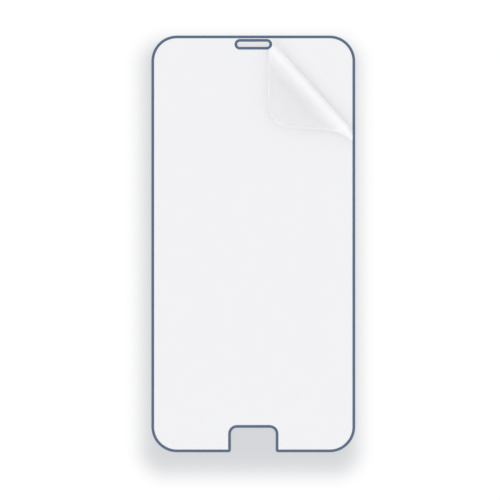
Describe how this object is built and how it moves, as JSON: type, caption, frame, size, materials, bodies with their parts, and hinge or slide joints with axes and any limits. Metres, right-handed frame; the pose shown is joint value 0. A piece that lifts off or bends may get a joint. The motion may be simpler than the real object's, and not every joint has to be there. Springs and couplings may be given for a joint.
{
  "type": "phone screen protector",
  "caption": "Flat phone screen protector film with a printed edge line, home button notch and earpiece slot, under a thin cover film peeled back at one corner.",
  "frame": {"origin": "middle of the adhesive underside, on the face that lies on the phone's glass", "axes": "+X across the phone to the right, +Y along the phone to the earpiece end, +Z off the glass towards the viewer"},
  "size_m": [0.067, 0.137, 0.0026],
  "materials": {
    "milky_film": "satin, faintly milky clear film",
    "line_ink": "satin screen-printed ink",
    "cover_film": "glossy clear release film"
  },
  "bodies": {
    "root": {"protector_film": "milky_film", "edge_line": "line_ink", "slot_line": "line_ink", "cover_film": "cover_film"}
  },
  "joints": []
}
